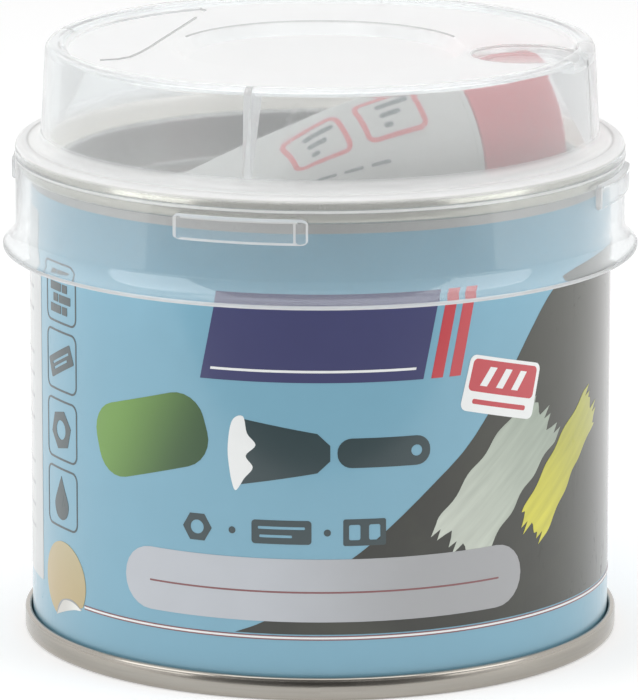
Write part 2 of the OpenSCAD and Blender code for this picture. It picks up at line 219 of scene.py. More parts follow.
def make_fine_grain():
    """Even fine unevenness of moulded plastic and paste."""
    tree, ins, outs = effect("fine grain", [("Place", "Vector"), ("Size", "Float"), ("Depth", "Float")],
                             [("Tone", "Float"), ("Height", "Float")])
    grain = noise(tree, ins["Place"], ins["Size"], 3, Roughness=0.6)
    tree.links.new(grain, outs["Height"])
    tree.links.new(swung(tree, grain, ins["Depth"]), outs["Tone"])
    return tree


def make_rolled_seam():
    """Round back of a folded seam, as a height, at two heights up the tin."""
    tree, ins, outs = effect("rolled seam",
                             [("Place", "Vector"), ("Low", "Float"), ("High", "Float"), ("Half", "Float")],
                             [("Height", "Float")])
    height = parts_of(tree, ins["Place"])["Z"]
    off = [sums(tree, "ABSOLUTE", sums(tree, "SUBTRACT", height, ins[end])) for end in ("Low", "High")]
    share = sums(tree, "MINIMUM", sums(tree, "DIVIDE", sums(tree, "MINIMUM", *off), ins["Half"]), 1.0)
    tree.links.new(sums(tree, "SUBTRACT", 1.0, sums(tree, "MULTIPLY", share, share)), outs["Height"])
    return tree


def make_strokes():
    """Streaks that run one way over the wall's print, as a tone."""
    tree, ins, outs = effect("strokes", [("Place", "Vector"), ("Slant", "Float"), ("Depth", "Float")],
                             [("Tone", "Float")])
    part = parts_of(tree, ins["Place"])
    front = sums(tree, "ARCTAN2", part["X"], sums(tree, "MULTIPLY", part["Y"], -1.0))
    round_wall = sums(tree, "MULTIPLY", front, WALL_R * MM)
    flat = put(tree, "ShaderNodeCombineXYZ", {"X": round_wall, "Y": part["Z"]}).outputs[0]
    slanted = put(tree, "ShaderNodeVectorRotate", {"Vector": flat, "Angle": ins["Slant"]}, rotation_type="Z_AXIS")
    long_way = put(tree, "ShaderNodeMapping", {"Vector": slanted.outputs[0], "Scale": (90, 900, 1)}).outputs[0]
    tree.links.new(swung(tree, noise(tree, long_way, 1.0, 3), ins["Depth"]), outs["Tone"])
    return tree


print_screen = make_print_screen()
strokes = make_strokes()
rolled_lines = make_rolled_lines()
hairlines = make_hairlines()
fine_grain = make_fine_grain()
rolled_seam = make_rolled_seam()


# Finishes
def new_finish(name):
    """A new material: itself, its tree, its main shader and the place on the object."""
    material = bpy.data.materials.new(name)
    material.use_nodes = True
    tree = material.node_tree
    place = put(tree, "ShaderNodeTexCoord").outputs["Object"]
    return material, tree, tree.nodes["Principled BSDF"], place


def raise_surface(tree, shader, height, depth, strength=1.0):
    """Fine relief of the given depth in millimetres."""
    bump = put(tree, "ShaderNodeBump", {"Height": height, "Distance": depth * MM, "Strength": strength})
    feed(shader, {"Normal": bump.outputs[0]})


def along(tree, place, start, end):
    """A value from 0 at one point to 1 at another, both in millimetres."""
    run = (Vector(end) - Vector(start)) * MM
    off = put(tree, "ShaderNodeVectorMath", {0: place, 1: Vector(start) * MM}, operation="SUBTRACT").outputs["Vector"]
    share = put(tree, "ShaderNodeVectorMath", {0: off, 1: run / run.length_squared}, operation="DOT_PRODUCT")
    return eased(tree, share.outputs["Value"], 0.0, 1.0)


def varnished_ink(name, colour, fade=None, depth=0.07, cloud=None, slant=None):
    """Ink under clear varnish; fade is a second colour and the two points it runs between, slant the streaks' angle."""
    material, tree, shader, place = new_finish(name)
    ink = screen(*colour)
    if fade:
        ink = mixed(tree, along(tree, place, fade[1], fade[2]), ink, screen(*fade[0]))
    if cloud:
        soft = noise(tree, place, 75, 4, Distortion=0.6)
        ink = mixed(tree, eased(tree, soft, 0.44, 0.66), ink, screen(*cloud))
    if slant is not None:
        streaks = use(tree, strokes, Place=place, Slant=math.radians(slant), Depth=0.5)["Tone"]
        ink = toned(tree, ink, streaks)
    screened = use(tree, print_screen, Ink=ink, Place=place, Depth=depth)["Colour"]
    marks = use(tree, hairlines, Place=place, Size=420.0, Amount=0.22)["Mask"]
    feed(shader, {"Base Color": screened, "Roughness": sums(tree, "ADD", marks, 0.3),
                  "Coat Weight": 0.8, "Coat Roughness": 0.1})
    return material


def plate(name, colour, roughness, lines, depth=0.1, lacquer=None, seamed=False):
    """Tinplate with lines from rolling and pressing; lacquer pales it inside the seam, seamed plate is rolled round."""
    material, tree, shader, place = new_finish(name)
    rolled = use(tree, rolled_lines, Place=place, Lines=lines, Depth=depth)
    marks = use(tree, hairlines, Place=place, Size=500.0, Amount=0.06)["Mask"]
    tone, rough, metal = screen(*colour), sums(tree, "MULTIPLY", rolled["Tone"], roughness), 1.0
    if lacquer:
        inside = eased(tree, from_axis(tree, place), 41.2 * MM, 41.7 * MM, 1.0, 0.0)
        tone = mixed(tree, inside, tone, screen(*lacquer))
        rough = sums(tree, "ADD", rough, sums(tree, "MULTIPLY", inside, 0.3))
        metal = sums(tree, "SUBTRACT", 1.0, sums(tree, "MULTIPLY", inside, 0.7))
    feed(shader, {"Base Color": toned(tree, tone, rolled["Tone"]), "Roughness": sums(tree, "ADD", rough, marks),
                  "Metallic": metal})
    if seamed:
        low, high = SEAM_MIDDLES
        bulge = use(tree, rolled_seam, Place=place, Low=low * MM, High=high * MM, Half=SEAM_HALF * MM)["Height"]
        raise_surface(tree, shader, sums(tree, "ADD", bulge, sums(tree, "MULTIPLY", rolled["Height"], 0.03)), 0.2)
    else:
        raise_surface(tree, shader, rolled["Height"], 0.01, 0.5)
    return material


def moulding(name, colour, roughness, size, depth, relief=0.01):
    """Satin moulded plastic, rubber or paste with a fine grain."""
    material, tree, shader, place = new_finish(name)
    grain = use(tree, fine_grain, Place=place, Size=size, Depth=depth)
    marks = use(tree, hairlines, Place=place, Size=600.0, Amount=0.15)["Mask"]
    rough = sums(tree, "MULTIPLY", grain["Tone"], roughness)
    feed(shader, {"Base Color": toned(tree, screen(*colour), grain["Tone"]),
                  "Roughness": sums(tree, "ADD", rough, marks)})
    raise_surface(tree, shader, grain["Height"], relief, 0.6)
    return material


def printed_wall():
    """Sky-blue printed wall, bare along its top, along the weld and inside."""
    material, tree, shader, place = new_finish("sky blue varnish")
    part = parts_of(tree, place)
    below = eased(tree, part["Z"], 66.15 * MM, 66.3 * MM, 1.0, 0.0)
    outside = eased(tree, from_axis(tree, place), 41.5 * MM, 41.56 * MM)
    off_weld = eased(tree, sums(tree, "ABSOLUTE", part["X"]), 2.1 * MM, 2.25 * MM)
    at_front = sums(tree, "LESS_THAN", part["Y"], 0.0)
    inked = sums(tree, "MULTIPLY", sums(tree, "MULTIPLY", below, outside), sums(tree, "MAXIMUM", off_weld, at_front))
    blue = use(tree, print_screen, Ink=screen(118, 167, 188), Place=place, Depth=0.07)["Colour"]
    rolled = use(tree, rolled_lines, Place=place, Lines=2600.0, Depth=0.16)
    bare = toned(tree, screen(182, 179, 176), rolled["Tone"])
    marks = use(tree, hairlines, Place=place, Size=420.0, Amount=0.22)["Mask"]
    feed(shader, {"Base Color": mixed(tree, inked, bare, blue), "Metallic": sums(tree, "SUBTRACT", 1.0, inked),
                  "Roughness": sums(tree, "ADD", marks, eased(tree, inked, 0, 1, 0.36, 0.3)),
                  "Coat Weight": sums(tree, "MULTIPLY", inked, 0.8), "Coat Roughness": 0.1})
    raise_surface(tree, shader, rolled["Height"], 0.006, 0.3)
    return material


def clear_moulding(name, haze_at, panel_haze=0.0, tint=0.95):
    """Clear, slightly milky plastic that lets lamp light through.

    Its haze is a list of heights and shares; panel_haze adds a film on the top, which shows most at a low angle,
    and haze along the shoulder's corner.
    """
    material, tree, shader, place = new_finish(name)
    grain = use(tree, fine_grain, Place=place, Size=260.0, Depth=0.03)
    marks = use(tree, hairlines, Place=place, Size=380.0, Amount=0.1)["Mask"]
    feed(shader, {"Base Color": toned(tree, screen(244, 247, 248), grain["Tone"]),
                  "Roughness": sums(tree, "ADD", marks, 0.05), "IOR": 1.49, "Transmission Weight": 0.96})
    raise_surface(tree, shader, grain["Height"], 0.02, 0.25)
    rays = put(tree, "ShaderNodeLightPath").outputs
    through = put(tree, "ShaderNodeBsdfTransparent", {"Color": (0.9, 0.9, 0.9, 1)}).outputs[0]
    passed = put(tree, "ShaderNodeBsdfTranslucent", {"Color": (tint, tint, tint, 1)}).outputs[0]
    thrown = put(tree, "ShaderNodeBsdfDiffuse", {"Color": (tint, tint, tint, 1)}).outputs[0]
    haze = blended(tree, 0.7, passed, thrown)
    height = parts_of(tree, place)["Z"]
    share = haze_at[0][1]
    for (low, before), (high, after) in zip(haze_at, haze_at[1:]):
        share = sums(tree, "ADD", share, eased(tree, height, low * MM, high * MM, 0.0, after - before))
    if panel_haze:
        out = from_axis(tree, place)
        low_angle = put(tree, "ShaderNodeLayerWeight", {"Blend": 0.5}).outputs["Facing"]
        film = eased(tree, low_angle, 0.35, 0.7, 0.4, 1.0)
        on_panel = sums(tree, "MULTIPLY", film, eased(tree, out, 35.8 * MM, 36.8 * MM, panel_haze, 0.0))
        share = sums(tree, "ADD", share, sums(tree, "MULTIPLY", on_panel, eased(tree, height, 81.6 * MM, 82.6 * MM)))
        at_corner = eased(tree, out, 41.7 * MM, 42.2 * MM, 0.0, 0.35)
        on_corner = sums(tree, "MULTIPLY", at_corner, eased(tree, height, 70.9 * MM, 71.3 * MM))
        share = sums(tree, "ADD", share, on_corner)
    milky = blended(tree, share, shader.outputs[0], haze)
    feed(tree.nodes["Material Output"], {"Surface": blended(tree, rays["Is Shadow Ray"], milky, through)})
    return material


wall_finish = printed_wall()
clear_finish = clear_moulding("clear milky plastic", [(70.5, 0.04), (71.2, 0.5), (72.4, 0.5), (73.6, 0.15)],
                              panel_haze=0.76, tint=0.99)
edge_finish = clear_moulding("milky moulded edge", [(60.0, 0.6)])
bar_finish = clear_moulding("milky moulded bar", [(60.0, 0.17)])
# The ribs' milky finish is greyed (tint 0.74) as painted shade.
rib_finish_painted_shade = clear_moulding("milky rib greyed as painted shade", [(60.0, 0.6)], tint=0.74)
# Grey line finish: a darker haze painted as shade along the step, the dish's back edge and the cup's rim.
painted_shade_line_finish = clear_moulding("grey line of painted shade", [(60.0, 0.7)], tint=0.6)
seam_finish = plate("bright tinplate", (168, 163, 155), roughness=0.16, lines=2600.0, depth=0.3, seamed=True)
ring_finish = plate("lacquered ring plate", (198, 194, 184), roughness=0.16, lines=2600.0, depth=0.3,
                    lacquer=(252, 249, 243), seamed=True)
lid_finish = plate("lacquered lid plate", (166, 168, 165), roughness=0.26, lines=1500.0)
compound_finish = moulding("sealing compound", (92, 94, 93), roughness=0.7, size=900.0, depth=0.2)
filler_finish = moulding("ochre filler", (214, 190, 144), roughness=0.42, size=320.0, depth=0.16, relief=0.12)
# The tube's white film is greyed to (182, 182, 179) as painted shade under the clear cap.
tube_finish_painted_shade = moulding("white tube film greyed as painted shade", (182, 182, 179), roughness=0.36, size=420.0, depth=0.04, relief=0.02)
tube_cap_finish = moulding("red screw cap", (176, 30, 46), roughness=0.34, size=700.0, depth=0.08)
foil_finish = plate("foil membrane", (212, 212, 212), roughness=0.2, lines=900.0)
hardener_finish = moulding("red hardener", (176, 66, 52), roughness=0.35, size=300.0, depth=0.14, relief=0.08)

for node_name, finish in {
    "tin_body": wall_finish, "bottom_end": seam_finish, "top_ring": ring_finish, "lever_lid": lid_finish,
    "bottom_seam_seal": compound_finish, "top_seam_seal": compound_finish, "filler_paste": filler_finish,
    "tube_head": tube_finish_painted_shade, "tube_seal": foil_finish,
}.items():
    nodes[node_name].data.materials.clear()
    nodes[node_name].data.materials.append(finish)


# Mesh tools
def new_piece(name, points, faces, body, finish, sharp=32):
    """A piece from points in millimetres, smooth but for edges sharper than the given angle."""
    mesh = bpy.data.meshes.new(name)
    mesh.from_pydata([Vector(p) * MM for p in points], [], faces)
    bm = bmesh.new()
    bm.from_mesh(mesh)
    bmesh.ops.recalc_face_normals(bm, faces=bm.faces[:])
    bm.to_mesh(mesh)
    bm.free()
    obj = bpy.data.objects.new(name, mesh)
    scene.collection.objects.link(obj)
    smooth(mesh, sharp)
    mesh.materials.append(finish)
    if body:
        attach(obj, body)
    return obj


def smooth(mesh, sharp):
    """Smooth shading but for edges sharper than the given angle."""
    mesh.polygons.foreach_set("use_smooth", [True] * len(mesh.polygons))
    mesh.set_sharp_from_angle(angle=math.radians(sharp))


def rounded_path(corners, step=8):
    """Straight runs between corners (a, b, radius), each corner rounded to its radius."""
    path = [Vector(corners[0][:2])]
    for before, here, after in zip(corners, corners[1:], corners[2:]):
        at = Vector(here[:2])
        back = (Vector(before[:2]) - at).normalized()
        on = (Vector(after[:2]) - at).normalized()
        half = math.acos(max(-1.0, min(1.0, back.dot(on)))) / 2
        centre = at + (back + on).normalized() * here[2] / math.sin(half)
        spoke = at + back * here[2] / math.tan(half) - centre
        end = at + on * here[2] / math.tan(half) - centre
        sweep = math.atan2(spoke.x * end.y - spoke.y * end.x, spoke.dot(end))
        count = max(2, round(abs(math.degrees(sweep)) / step))
        for i in range(count + 1):
            path.append(centre + Matrix.Rotation(sweep * i / count, 2) @ spoke)
    path.append(Vector(corners[-1][:2]))
    return path


def beside(path, offset):
    """The path moved sideways to its left, mitred at each point."""
    moved = []
    for i, at in enumerate(path):
        before = (path[max(i, 1)] - path[max(i, 1) - 1]).normalized()
        after = (path[min(i + 1, len(path) - 1)] - path[min(i + 1, len(path) - 1) - 1]).normalized()
        left = Vector((-before.y, before.x))
        across = (left + Vector((-after.y, after.x))).normalized()
        moved.append(at + across * offset / across.dot(left))
    return moved


def turned(profile, steps=240):
    """Points and faces of a closed profile of radius and height turned about the tin's axis."""
    points, faces, rings = [], [], []
    for r, z in profile:
        first = len(points)
        if r < 1e-6:
            points.append((0, 0, z))
            rings.append([first] * steps)
            continue
        for i in range(steps):
            turn = 2 * math.pi * i / steps
            points.append((r * math.cos(turn), r * math.sin(turn), z))
        rings.append(list(range(first, first + steps)))
    for low, high in zip(rings, rings[1:] + rings[:1]):
        if low[0] == low[1] and high[0] == high[1]:
            continue
        for i in range(steps):
            j = (i + 1) % steps
            faces.append(list(dict.fromkeys([low[i], low[j], high[j], high[i]])))
    return points, faces


def cut_or_join(base, tools, how):
    """Joins tools to a base mesh or cuts them from it."""
    tool = new_piece("tool", *tools, None, clear_finish)
    change = base.modifiers.new(how, "BOOLEAN")
    change.operation, change.object, change.solver = how, tool, "MANIFOLD"
    done = bpy.data.meshes.new_from_object(base.evaluated_get(bpy.context.evaluated_depsgraph_get()))
    base.modifiers.clear()
    base.data = done
    bpy.data.objects.remove(tool)


def gathered(shapes):
    """Several sets of points and faces as one."""
    points, faces = [], []
    for more_points, more_faces in shapes:
        faces += [[k + len(points) for k in face] for face in more_faces]
        points += more_points
    return points, faces


def slab(outline, low, high, place):
    """A flat outline made solid between two heights; place turns (a, b, height) into a point."""
    count = len(outline)
    points = [place(a, b, low) for a, b in outline] + [place(a, b, high) for a, b in outline]
    faces = [list(range(count))[::-1], list(range(count, 2 * count))]
    faces += [[i, (i + 1) % count, count + (i + 1) % count, count + i] for i in range(count)]
    return points, faces


def rounded_box(centre, width, height, radius, tilt=0.0, step=15):
    """Outline of a box with rounded corners, tilted in degrees."""
    turn = Matrix.Rotation(math.radians(tilt), 2)
    outline = []
    for k, (side, up) in enumerate([(1, 1), (-1, 1), (-1, -1), (1, -1)]):
        corner = Vector((side * (width / 2 - radius), up * (height / 2 - radius)))
        for a in range(0, 91, step):
            bend = math.radians(90 * k + a)
            outline.append(Vector(centre) + turn @ (corner + radius * Vector((math.cos(bend), math.sin(bend)))))
    return outline


def oval(centre, wide, high, count, turn=0.0):
    """Outline of an oval, or of a regular shape where the count is small."""
    turns = [2 * math.pi * i / count + turn for i in range(count)]
    return [Vector((centre[0] + wide * math.cos(a), centre[1] + high * math.sin(a))) for a in turns]


def flowing(points, count=6):
    """A smooth line through a few points."""
    line = []
    for i in range(len(points) - 1):
        before, here, on, after = (Vector(points[max(0, min(len(points) - 1, i + k))]) for k in (-1, 0, 1, 2))
        for t in (k / count for k in range(count)):
            line.append(0.5 * (2 * here + (on - before) * t + (2 * before - 5 * here + 4 * on - after) * t ** 2
                               + (3 * here - before - 3 * on + after) * t ** 3))
    return line + [Vector(points[-1])]


def closed_curve(points, count):
    """A smooth outline through a few points."""
    return flowing(points + points[:1], count)[:-1]


def shifted(points, at):
    """Points moved to stand about another place."""
    return [(at[0] + a, at[1] + b) for a, b in points]


# Print on the wall and the tube
def on_wall(across, height, lift):
    """Point on the wall, by millimetres round from the front and up from the foot."""
    turn = across / WALL_R
    return (WALL_R + lift) * math.sin(turn), -(WALL_R + lift) * math.cos(turn), height


def round_by(degrees):
    """Millimetres round the wall."""
    return WALL_R * math.radians(degrees)


def laid_round(points):
    """Points given by degrees round and height up, in millimetres round and up."""
    return [(round_by(degrees), z) for degrees, z in points]


def print_patch(name, loops, finish, lift, body="tin", place=on_wall, step=0.9, both_ways=False):
    """Thin print of one outline with holes, bent to what carries it; print over other print has more lift."""
    bm = bmesh.new()
    for loop in loops:
        corners = [bm.verts.new((a, b, 0)) for a, b in loop]
        for i, corner in enumerate(corners):
            bm.edges.new((corner, corners[i - 1]))
    bmesh.ops.triangle_fill(bm, use_beauty=True, use_dissolve=False, edges=bm.edges[:])
    for axis in range(2 if both_ways else 1):
        low = min(v.co[axis] for v in bm.verts)
        high = max(v.co[axis] for v in bm.verts)
        for k in range(math.floor(low / step) + 1, math.ceil(high / step)):
            at, normal = Vector((0, 0, 0)), Vector((0, 0, 0))
            at[axis], normal[axis] = k * step, 1
            bmesh.ops.bisect_plane(bm, geom=bm.verts[:] + bm.edges[:] + bm.faces[:], plane_co=at, plane_no=normal,
                                   dist=1e-5)
    bm.verts.index_update()
    flat = [v.co.copy() for v in bm.verts]
    count = len(flat)
    points = [place(c.x, c.y, lift) for c in flat] + [place(c.x, c.y, -PRINT_SUNK) for c in flat]
    faces = []
    for face in bm.faces:
        ring = [v.index for v in face.verts]
        if face.normal.z < 0:
            ring.reverse()
        faces += [ring, [count + k for k in reversed(ring)]]
    for edge in bm.edges:
        if len(edge.link_faces) == 1:
            a, b = (v.index for v in edge.verts)
            faces.append([a, b, count + b, count + a])
    bm.free()
    return new_piece(name, points, faces, body, finish)


def rounded_frame(centre, width, height, radius, line):
    """Outline and hole of a rounded line frame."""
    return [rounded_box(centre, width, height, radius),
            rounded_box(centre, width - 2 * line, height - 2 * line, max(radius - line, 0.05))]


navy = varnished_ink("navy ink", (64, 66, 108))
signal_red = varnished_ink("red ink", (190, 62, 70))
dark_ink = varnished_ink("dark teal ink", (42, 62, 66))
white_ink = varnished_ink("white ink", (232, 234, 233))
panel_ink = varnished_ink("panel white ink", (186, 190, 190))
curl_ink = varnished_ink("pale curl ink", (206, 204, 198), ((236, 236, 232), (-36, -20, 8), (-33, -24, 7)))
field_ink = varnished_ink("olive grey ink", (27, 29, 19), ((51, 52, 42), (0, -40, 14), (38, -16, 48)),
                          depth=0.3, cloud=(46, 48, 36))
smear_ink = varnished_ink("pale smear ink", (196, 202, 190), ((150, 162, 148), (10, -40, 18), (34, -20, 40)), slant=-42)
yellow_ink = varnished_ink("yellow ink", (208, 202, 66), ((166, 166, 48), (22, -36, 26), (34, -22, 44)), slant=-38)
bar_ink = varnished_ink("grey bar ink", (184, 188, 194), ((160, 161, 163), (-12, -41, 15), (16, -39, 15)))
green_ink = varnished_ink("green badge ink", (104, 148, 58), ((30, 72, 24), (-30, -29, 38), (-18, -38, 31)))
ochre_ink = varnished_ink("ochre ink", (182, 161, 112), ((182, 170, 130), (-33, -25, 6), (-30, -28, 17)))
rule_ink = varnished_ink("red brown line ink", (128, 76, 78))
grey_ink = varnished_ink("grey ink", (150, 154, 156))


def print_sign(name, *loops):
    """A plain dark sign."""
    print_patch(name, loops, dark_ink, 0.03)


def brushed(middle, width, hairs):
    """Outline of a brush stroke along points round in degrees and up, with ragged ends."""
    path = flowing(laid_round(middle), 10)
    left, right = [], []
    for i, at in enumerate(path):
        run = (path[min(i + 1, len(path) - 1)] - path[max(i - 1, 0)]).normalized()
        side = Vector((-run.y, run.x)) * width / 2 * (1 + 0.05 * math.sin(0.7 * i))
        left.append(at + side)
        right.append(at - side)
    ends = []
    for one, other, run in ((left[-1], right[-1], path[-1] - path[-2]), (right[0], left[0], path[0] - path[1])):
        for k in range(1, 2 * hairs):
            reach = (1.2 + math.sin(2.3 * k) + 0.7 * math.sin(5.1 * k + 1)) * (1 if k % 2 else 0.3)
            ends.append(one.lerp(other, k / (2 * hairs)) + run.normalized() * reach)
    return left + ends[:2 * hairs - 1] + right[::-1] + ends[2 * hairs - 1:]


def white_panel():
    """White panel with thin grey rules round the left and the back."""
    print_patch("side_panel", [rounded_box((round_by(-121), 36.6), round_by(99), 54.0, 0.6)], panel_ink, 0.03)
    for k in range(14):
        long = 58 if k % 5 == 4 else 88
        rule = rounded_box((round_by(-166 + long / 2), 58 - 3.2 * k), round_by(long), 0.5, 0.2)
        print_patch(f"side_rule_{k}", [rule], grey_ink, 0.045)


def slanted_picture():
    """Dark slanted field with a pale and a yellow stroke of paste."""
    edge = flowing([(-16.5, 9.3), (-9.5, 11.6), (0, 17), (10, 22.3), (22, 30), (30, 35.4), (38, 43), (44, 49.2),
                    (50, 54.2), (56, 56.6), (64, 57.4), (75, 57.8), (98, 58)])
    print_patch("slanted_field", [laid_round(edge) + laid_round([(98, 9.3)])], field_ink, 0.02)
    smear = brushed([(28, 21.5), (34, 27), (41, 32.5), (48, 37)], width=9.6, hairs=9)
    print_patch("smear_stroke", [smear], smear_ink, 0.035)
    yellow = brushed([(46, 22), (52, 27.2), (58, 31.8), (66, 36)], width=6.4, hairs=7)
    print_patch("yellow_stroke", [yellow], yellow_ink, 0.05)


def grey_bar():
    """Grey bar with a rule at the front, and three fine lines round the foot."""
    print_patch("capsule_bar", [rounded_box((round_by(0.8), 15.6), round_by(83), 9.0, 4.4)], bar_ink, 0.065)
    print_patch("bar_rule", [rounded_box((round_by(1), 15.35), round_by(71.5), 0.26, 0.1)], rule_ink, 0.08)
    print_patch("ring_line_white", [rounded_box((round_by(61), 8.8), round_by(228), 0.3, 0.05)], white_ink, 0.05)
    for k, z in enumerate((9.02, 8.56)):
        print_patch(f"ring_line_dark_{k}", [rounded_box((round_by(61), z), round_by(228), 0.16, 0.05)], rule_ink, 0.06)


def slanted_band():
    """Navy band with a white line and two red stripes."""
    low, high = 45.2, 57.6
    band = [(-23.5, low), (20.0, low), (23.5, high), (-20.0, high)]
    print_patch("slanted_band", [laid_round(band)], navy, 0.03)
    for k, start in enumerate((21.6, 25.4)):
        stripe = [(start, low), (start + 2.4, low), (start + 5.9, high), (start + 3.5, high)]
        print_patch(f"slanted_stripe_{k}", [laid_round(stripe)], signal_red, 0.03)
    line = [(-21.4, 46.6), (18.5, 46.6), (18.6, 46.95), (-21.3, 46.95)]
    print_patch("band_line", [laid_round(line)], white_ink, 0.045)


def filling_knife():
    """Filling knife with paste along its blade, and a row of small signs under it."""
    print_sign("knife_blade", [(-11.6, 31.1), (-11.2, 30.5), (-0.4, 32.4), (1.4, 34.1), (1.4, 36.3), (-0.4, 38.0),
                               (-11.2, 39.9), (-11.6, 39.3)])
    print_sign("knife_handle", rounded_box((9.0, 35.2), 13.2, 4.2, 2.0), oval((13.6, 35.2), 0.8, 0.8, 20))
    paste = closed_curve([(-12.6, 31.6), (-11.9, 29.6), (-10.6, 31.4), (-9.4, 33.0), (-10.4, 34.6), (-9.0, 36.2),
                          (-10.2, 37.8), (-10.8, 40.2), (-12.4, 39.4), (-13.0, 35.4)], 5)
    print_patch("knife_paste", [paste], white_ink, 0.045)
    row = 23.9
    print_sign("sign_nut", oval((-17.6, row), 2.2, 2.2, 6), oval((-17.6, row), 1.0, 1.0, 24))
    print_sign("sign_plank", rounded_box((-5.4, row), 8.4, 3.4, 0.5), rounded_box((-5.4, 24.5), 6.6, 0.4, 0.15),
               rounded_box((-6.2, 23.3), 4.6, 0.4, 0.15))
    print_sign("sign_block", rounded_box((6.2, row), 6.0, 3.8, 0.3), rounded_box((4.8, row), 1.6, 2.2, 0.3),
               rounded_box((7.6, row), 1.6, 2.2, 0.3))
    for k, at in enumerate((-12.4, 1.0)):
        print_sign(f"sign_dot_{k}", oval((at, row), 0.5, 0.5, 20))


def sign_column():
    """Four framed signs on the left: bricks, a plank, a nut and a drop."""
    middle = round_by(-61.5)
    heights = bricks, plank, nut, drop = 53.1, 43.3, 33.3, 23.4
    for k, z in enumerate(heights):
        print_sign(f"mark_frame_{k}", *rounded_frame((middle, z), 9.2, 8.8, 1.4, 0.3))
    for k in range(8):
        row, column = divmod(k, 2)
        shift = 0.95 if row % 2 else -0.95
        wide = 3.4 if (column == 0) == (shift > 0) else 1.5
        side = -1.85 + 0.95 * (wide < 2) if column == 0 else 1.85 - 0.95 * (wide < 2)
        at = middle + side + shift * 0.5, bricks + 2.4 - 1.6 * row
        print_sign(f"mark_brick_{k}", rounded_box(at, wide, 1.2, 0.1))
    print_sign("mark_plank", rounded_box((middle, plank), 7.2, 3.0, 0.3, 24),
               rounded_box((middle, plank + 0.4), 5.2, 0.35, 0.1, 24),
               rounded_box((middle, plank - 0.5), 4.2, 0.35, 0.1, 24))
    print_sign("mark_nut", oval((middle, nut), 3.0, 3.0, 6, 0.2), oval((middle, nut), 1.4, 1.4, 28))
    outline = closed_curve([(0, 3.2), (1.1, 1.2), (2.1, -0.9), (1.5, -2.6), (0, -3.2), (-1.5, -2.6), (-2.1, -0.9),
                            (-1.1, 1.2)], 4)
    print_sign("mark_drop", shifted(outline, (middle, drop)))


def stickers():
    """Green badge, ochre sample with a turned-up corner, and a red card with three bars."""
    badge = rounded_box((round_by(-35.3), 36.0), 19.4, 10.6, 4.2, 15.5)
    print_patch("green_badge", [badge], green_ink, 0.03)
    at = round_by(-60.7), 11.4
    sample = [p for p in oval(at, 5.9, 5.7, 72) if p.y - at[1] > -4.6 + 0.28 * (p.x - at[0])]
    print_patch("ochre_sample", [sample], ochre_ink, 0.06)
    curl = closed_curve([(-2.4, -5.4), (-1.6, -4.0), (-0.4, -3.0), (1.6, -2.5), (3.4, -2.7), (4.8, -3.3), (3.0, -3.6),
                         (0.6, -4.3)], 5)
    print_patch("ochre_sample_curl", [shifted(curl, at)], curl_ink, 0.075)
    fold = closed_curve([(-2.4, -5.4), (-1.7, -3.9), (-0.5, -2.85), (1.6, -2.3), (3.4, -2.5), (4.8, -3.3),
                         (3.4, -2.75), (1.6, -2.55), (-0.4, -3.05)], 5)
    print_patch("ochre_sample_fold", [shifted(fold, at)], grey_ink, 0.09)
    card, lean = Vector((round_by(37.6), 42.6)), -14
    tilt = Matrix.Rotation(math.radians(lean), 2)
    print_patch("card_ground", [rounded_box(card, 13.0, 8.0, 1.0, lean)], white_ink, 0.06)
    print_patch("card_field", [rounded_box(card + tilt @ Vector((0, 1.2)), 11.8, 4.6, 0.7, lean)], signal_red, 0.075)
    print_patch("card_line", [rounded_box(card + tilt @ Vector((0, -2.5)), 9.6, 0.7, 0.3, lean)], signal_red, 0.075)
    for k, side in enumerate((-3.2, -0.4, 2.4)):
        bar = shifted([(-0.9, -1.4), (0.3, -1.4), (1.5, 1.4), (0.3, 1.4)], (side, 1.2))
        print_patch(f"card_bar_{k}", [[card + tilt @ Vector(p) for p in bar]], white_ink, 0.09)


white_panel()
slanted_picture()
grey_bar()
slanted_band()
filling_knife()
sign_column()
stickers()


# Tube
def in_tube(s, side, up):
    """Point by length from the tail, across and above the tube's axis."""
    return TAIL_AT + TUBE_ALONG * s + TUBE_ACROSS * side + TUBE_UP * up


def on_sleeve(s, turn, lift=0.0):
    """Point on the sleeve's skin, by length from the tail and angle from its far side; it lies flat on the lid."""
    t = max(0.0, min(1.0, (s - TAIL_L) / (ROUND_FROM - TAIL_L)))
    open_by = 1 - (1 - t) ** 2
    wide = TAIL_HALF_W + (TUBE_R - TAIL_HALF_W) * open_by
    high = TAIL_HALF_H + (TUBE_R - TAIL_HALF_H) * open_by
    if s < TAIL_L:
        high += 0.07 * math.sin(2 * math.pi * s / 0.7)
    dent = 1 - 0.015 * math.sin(math.pi * t) * (1 + math.sin(3 * turn + 0.28 * s))
    flat = (wide - high) * math.sin(math.pi / 2 * max(-1.0, min(1.0, 1.3 * math.cos(turn))))
    up = TAIL_RISE * (1 - t) + (high * dent + lift) * math.sin(turn)
    point = in_tube(s, flat + (high + lift) * math.cos(turn), up)
    point.z = max(point.z, LID_Z - lift)
    return point


def tube_loft(name, lengths, lift, finish, around=96):
    """Closed skin along the tube through rings at the given lengths from the tail."""
    points = [on_sleeve(s, 2 * math.pi * i / around, lift) for s in lengths for i in range(around)]
    faces = [[r * around + i, r * around + (i + 1) % around, (r + 1) * around + (i + 1) % around, (r + 1) * around + i]
             for r in range(len(lengths) - 1) for i in range(around)]
    faces += [list(range(around)), list(range((len(lengths) - 1) * around, len(lengths) * around))]
    return new_piece(name, points, faces, "tube", finish)


film = tube_loft("tube_film", [0.1 * i for i in range(36)] + [3.6 + 0.52 * i for i in range(71)], 0.0, tube_finish_painted_shade)
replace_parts(film, "tube_sleeve")
fill = tube_loft("hardener_fill", [7.5 + 0.61 * i for i in range(51)], -0.6, hardener_finish, 64)
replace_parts(fill, "hardener_paste")


